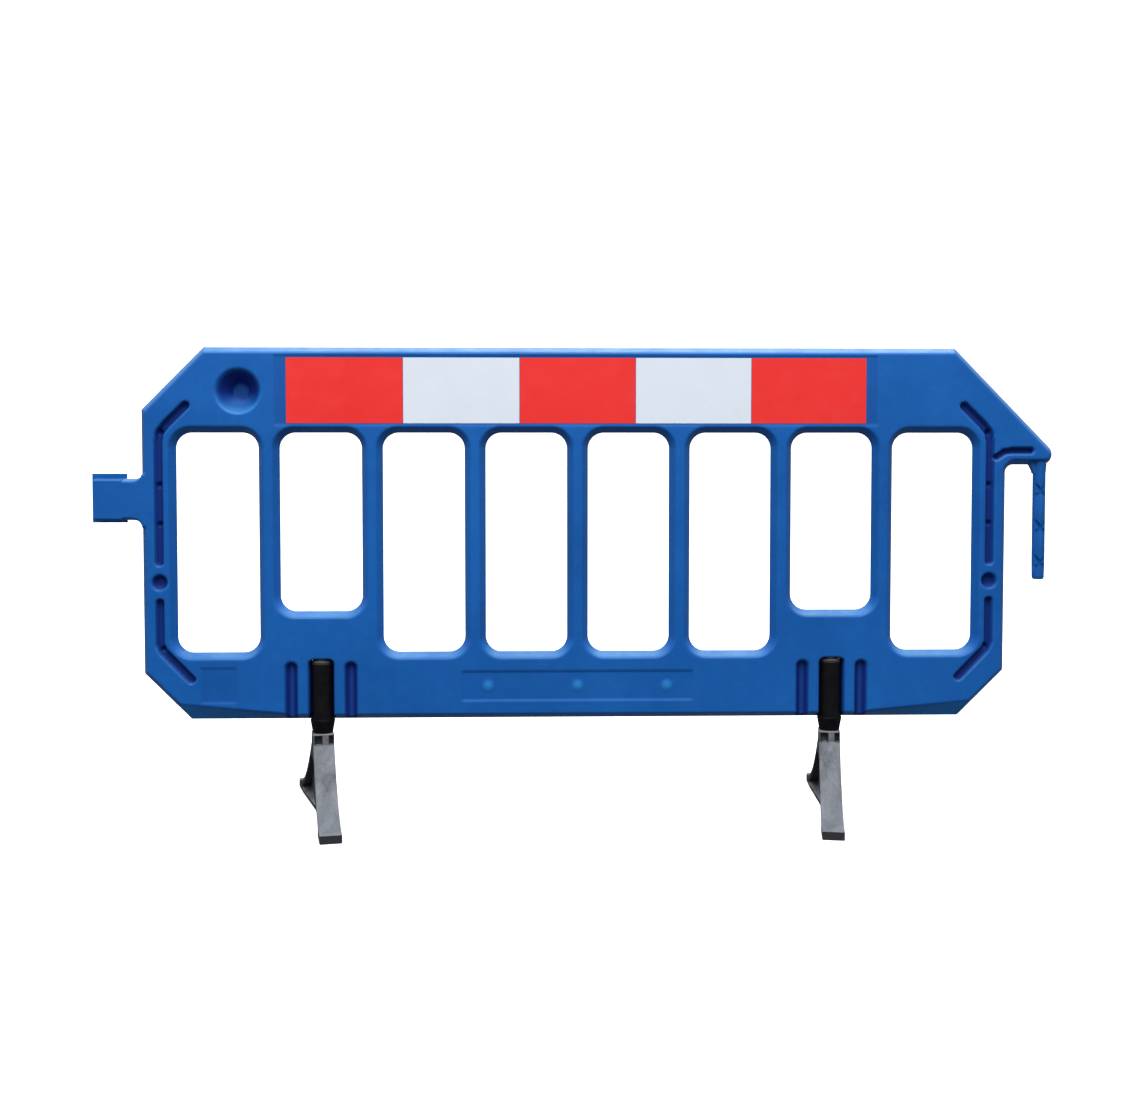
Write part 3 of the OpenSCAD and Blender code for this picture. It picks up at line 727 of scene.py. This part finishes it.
def foot_rubber():
    """Recycled rubber and plastic: streaks, crumb, pale specks and worn edges; grey on top from dust and
    painted reflection, near black with painted shade where steep.
    """
    p = Painter("recycled_rubber")
    streak = p.noise(26, 6, 0.65, p.stretched((1.0, 0.35, 0.5)), distortion=0.5)
    color = p.mix(p.ramp(streak, 0.3, 0.72), (0.06, 0.067, 0.08), (0.215, 0.23, 0.255))
    crumb = p.cells(210)
    color = p.mix(p.ramp(crumb, 0.0, 0.35, 0.4, 0), color, (0.045, 0.05, 0.058))
    spots = p.ramp(p.noise(330, 2, 0.5), 0.62, 0.7)
    color = p.drawn(color, spots, 0.4, (0.32, 0.33, 0.34))
    color = p.drawn(color, p.edges(0.52, 0.6), 0.4, (0.3, 0.31, 0.32))
    # grey on upward faces, near black on steep ones: partly dust on the dark material, partly painted
    # reflection of the light above and painted shade on the flanks
    color = p.mix(p.facing_up(0.0, 0.3), (0.022, 0.021, 0.026), color)
    rough = p.ramp(p.noise(60, 4), 0.3, 0.7, 0.55, 0.8)
    grain = p.bump(p.noise(520, 3, 0.6), 0.25, 0.8)
    lumps = p.bump(crumb, 0.5, 0.6, grain)
    return p.finish(color, rough, lumps, Specular_IOR_Level=0.4)


def black_nylon():
    """Black nylon of the swivel posts, with a little wear along its edges and a painted highlight on the
    upper shoulder.
    """
    p = Painter("black_nylon")
    cloud = p.noise(60, 4, 0.6)
    color = p.mix(p.ramp(cloud, 0.35, 0.7), (0.0012, 0.0012, 0.002), (0.004, 0.004, 0.006))
    color = p.drawn(color, p.edges(0.52, 0.6), 0.1, (0.03, 0.03, 0.034))
    # painted highlight on the upward faces of the posts' top shoulder
    shoulder = p.math("MULTIPLY", p.facing_up(0.2, 0.7), p.upward_part(p.place, 0.3, 0.31))
    color = p.drawn(color, shoulder, 0.6, (0.11, 0.105, 0.115))
    rough = p.ramp(p.noise(70, 4), 0.3, 0.7, 0.42, 0.6)
    return p.finish(color, rough, p.bump(p.noise(700, 2), 0.06, 0.6), Specular_IOR_Level=0.12)


def metal(name, dark, light, low, high):
    """Machined metal with fine turning marks; low and high bound its roughness."""
    p = Painter(name)
    cloud = p.noise(90, 4, 0.6)
    color = p.mix(p.ramp(cloud, 0.3, 0.7), dark, light)
    turned = p.noise(260, 3, 0.5, p.stretched((1.0, 1.0, 8.0)))
    rough = p.ramp(turned, 0.3, 0.7, low, high)
    return p.finish(color, rough, p.bump(turned, 0.04, 0.5), Metallic=1.0)


def floor_material():
    """Pale matt floor with a slight glow, so that it stays white."""
    p = Painter("studio_floor")
    tone = p.ramp(p.noise(0.6, 2), 0.3, 0.7)
    color = p.mix(tone, (0.86, 0.86, 0.86), (0.9, 0.9, 0.9))
    rough = p.ramp(p.noise(4, 3), 0.3, 0.7, 0.75, 0.9)
    p.shader.inputs["Emission Color"].default_value = (1, 1, 1, 1)
    return p.finish(color, rough, p.bump(p.noise(40, 2), 0.1, 0.2), Emission_Strength=0.55)


def paint(obj, material):
    """Gives an object its material, and its slot unless it is a CAD node, which has one."""
    obj.data.materials.clear()
    obj.data.materials.append(material)


# ---------------------------------------------------------------- the barrier
flat, faces = skin_faces(*snapped_grid())
blue = blue_plastic()
front_skin = panel_skin("panel_front", flat, faces, front=True)
rear_skin = panel_skin("panel_rear", flat, faces, front=False)
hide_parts("panel")
sleeve_piece = sleeve()
for piece in (front_skin, rear_skin, sleeve_piece):
    paint(piece, blue)
    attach(piece, "barrier")

round_edges(NODES["coupling_pin"], width_mm=1.2)
paint(NODES["coupling_pin"], blue)

red = sheet_material("red_sheeting", (0.83, 0.031, 0.027), (0.76, 0.023, 0.02), (0.86, 0.065, 0.06))
white = sheet_material("white_sheeting", (0.7, 0.75, 0.825), (0.64, 0.695, 0.775), (0.76, 0.8, 0.855))
for face_name, front in (("front", True), ("rear", False)):
    for i in range(1, FIELD_COUNT + 1):
        piece = sheeting(f"{face_name}_field_{i}", i, front)
        is_red = i % 2 == 1
        paint(piece, red if is_red else white)
        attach(piece, "barrier")

rubber = foot_rubber()
nylon = black_nylon()
zinc = metal("zinc_plated_steel", (0.5, 0.5, 0.5), (0.66, 0.67, 0.68), 0.28, 0.42)
brass = metal("brass_insert", (0.5, 0.36, 0.14), (0.68, 0.5, 0.22), 0.25, 0.4)
# each part with its material, its slot and the width of its rounded edges in millimetres
for side in SIDES:
    for part, material, slot, edge in (
        ("foot", rubber, "recycled_rubber", 2.0),
        ("post", nylon, "black_nylon", 0.8),
        ("thrust_washer", nylon, "black_nylon", 0.1),
        ("bolt", zinc, "zinc_plated_steel", 0.4),
        ("bolt_washer", zinc, "zinc_plated_steel", 0.3),
        ("insert", brass, "brass_insert", 1.5),
    ):
        node = NODES[f"{side}_{part}"]
        round_edges(node, edge)
        paint(node, material)


# ---------------------------------------------------------------- studio
def studio_bowl(radius=7.0, curve=3.0, height=5.0, turns=96):
    """Round white floor that curves up into a wall on every side."""
    flat_radius = radius - curve
    profile = [(flat_radius, 0.0)]
    for angle in np.linspace(0.1, math.pi / 2, 12):
        profile.append((flat_radius + curve * math.sin(angle), curve - curve * math.cos(angle)))
    profile.append((radius, height))
    bm = bmesh.new()
    angles = [2 * math.pi * i / turns for i in range(turns)]
    rings = [[(r * math.cos(a), r * math.sin(a), h) for a in angles] for r, h in profile]
    made = lofted(bm, rings, closed=False)
    bm.faces.new(made[0])
    bowl = finished_piece("studio_bowl", bm)
    bowl.data.materials.append(floor_material())
    bowl.visible_diffuse = False
    bowl.visible_glossy = False


def area_light(name, place, target, size, power):
    """Rectangular light that shines from one place toward another."""
    data = bpy.data.lights.new(name, "AREA")
    data.shape = "RECTANGLE"
    data.size, data.size_y = size
    data.energy = power
    light = bpy.data.objects.new(name, data)
    light.location = place
    light.rotation_euler = (Vector(target) - Vector(place)).to_track_quat("-Z", "Y").to_euler()
    bpy.context.scene.collection.objects.link(light)


def world_light(low, high):
    """Soft light from all round, weak from below and strong from above."""
    world = bpy.data.worlds.new("studio")
    world.use_nodes = True
    tree = world.node_tree
    background = tree.nodes["Background"]
    background.inputs["Color"].default_value = (0.95, 0.97, 1.0, 1)
    place = tree.nodes.new("ShaderNodeTexCoord")
    split = tree.nodes.new("ShaderNodeSeparateXYZ")
    grade = tree.nodes.new("ShaderNodeMapRange")
    grade.interpolation_type = "SMOOTHSTEP"
    grade.inputs["From Min"].default_value = -0.15
    grade.inputs["From Max"].default_value = 0.8
    grade.inputs["To Min"].default_value = low
    grade.inputs["To Max"].default_value = high
    tree.links.new(place.outputs["Generated"], split.inputs["Vector"])
    tree.links.new(split.outputs["Z"], grade.inputs["Value"])
    tree.links.new(grade.outputs["Result"], background.inputs["Strength"])
    bpy.context.scene.world = world


bpy.context.scene.view_settings.view_transform = "Standard"
studio_bowl()
world_light(low=0.2, high=1.3)
LIGHT_TARGET, LIGHT_SIZE = (0.0, 0.0, 0.6), (4.0, 2.2)
area_light("front_key", (-0.3, -2.6, 4.2), LIGHT_TARGET, LIGHT_SIZE, 190)
area_light("rear_key", (0.5, 2.6, 4.2), LIGHT_TARGET, LIGHT_SIZE, 110)

# ---------------------------------------------------------------- camera at the photograph's viewpoint
SENSOR_WIDTH, FOCAL_LENGTH = 36.0, 42.7276
CAMERA_PLACE = (-0.094, -2.9167, 0.7815)
LOOK_DOWN, LOOK_RIGHT = math.radians(2.377), math.radians(1.596)
camera_data = bpy.data.cameras.new("camera")
camera_data.sensor_width = SENSOR_WIDTH
camera_data.lens = FOCAL_LENGTH
camera_data.shift_y = -0.0452
camera = bpy.data.objects.new("camera", camera_data)
camera.location = CAMERA_PLACE
camera.rotation_euler = (math.pi / 2 - LOOK_DOWN, 0, -LOOK_RIGHT)
bpy.context.scene.collection.objects.link(camera)
bpy.context.scene.camera = camera
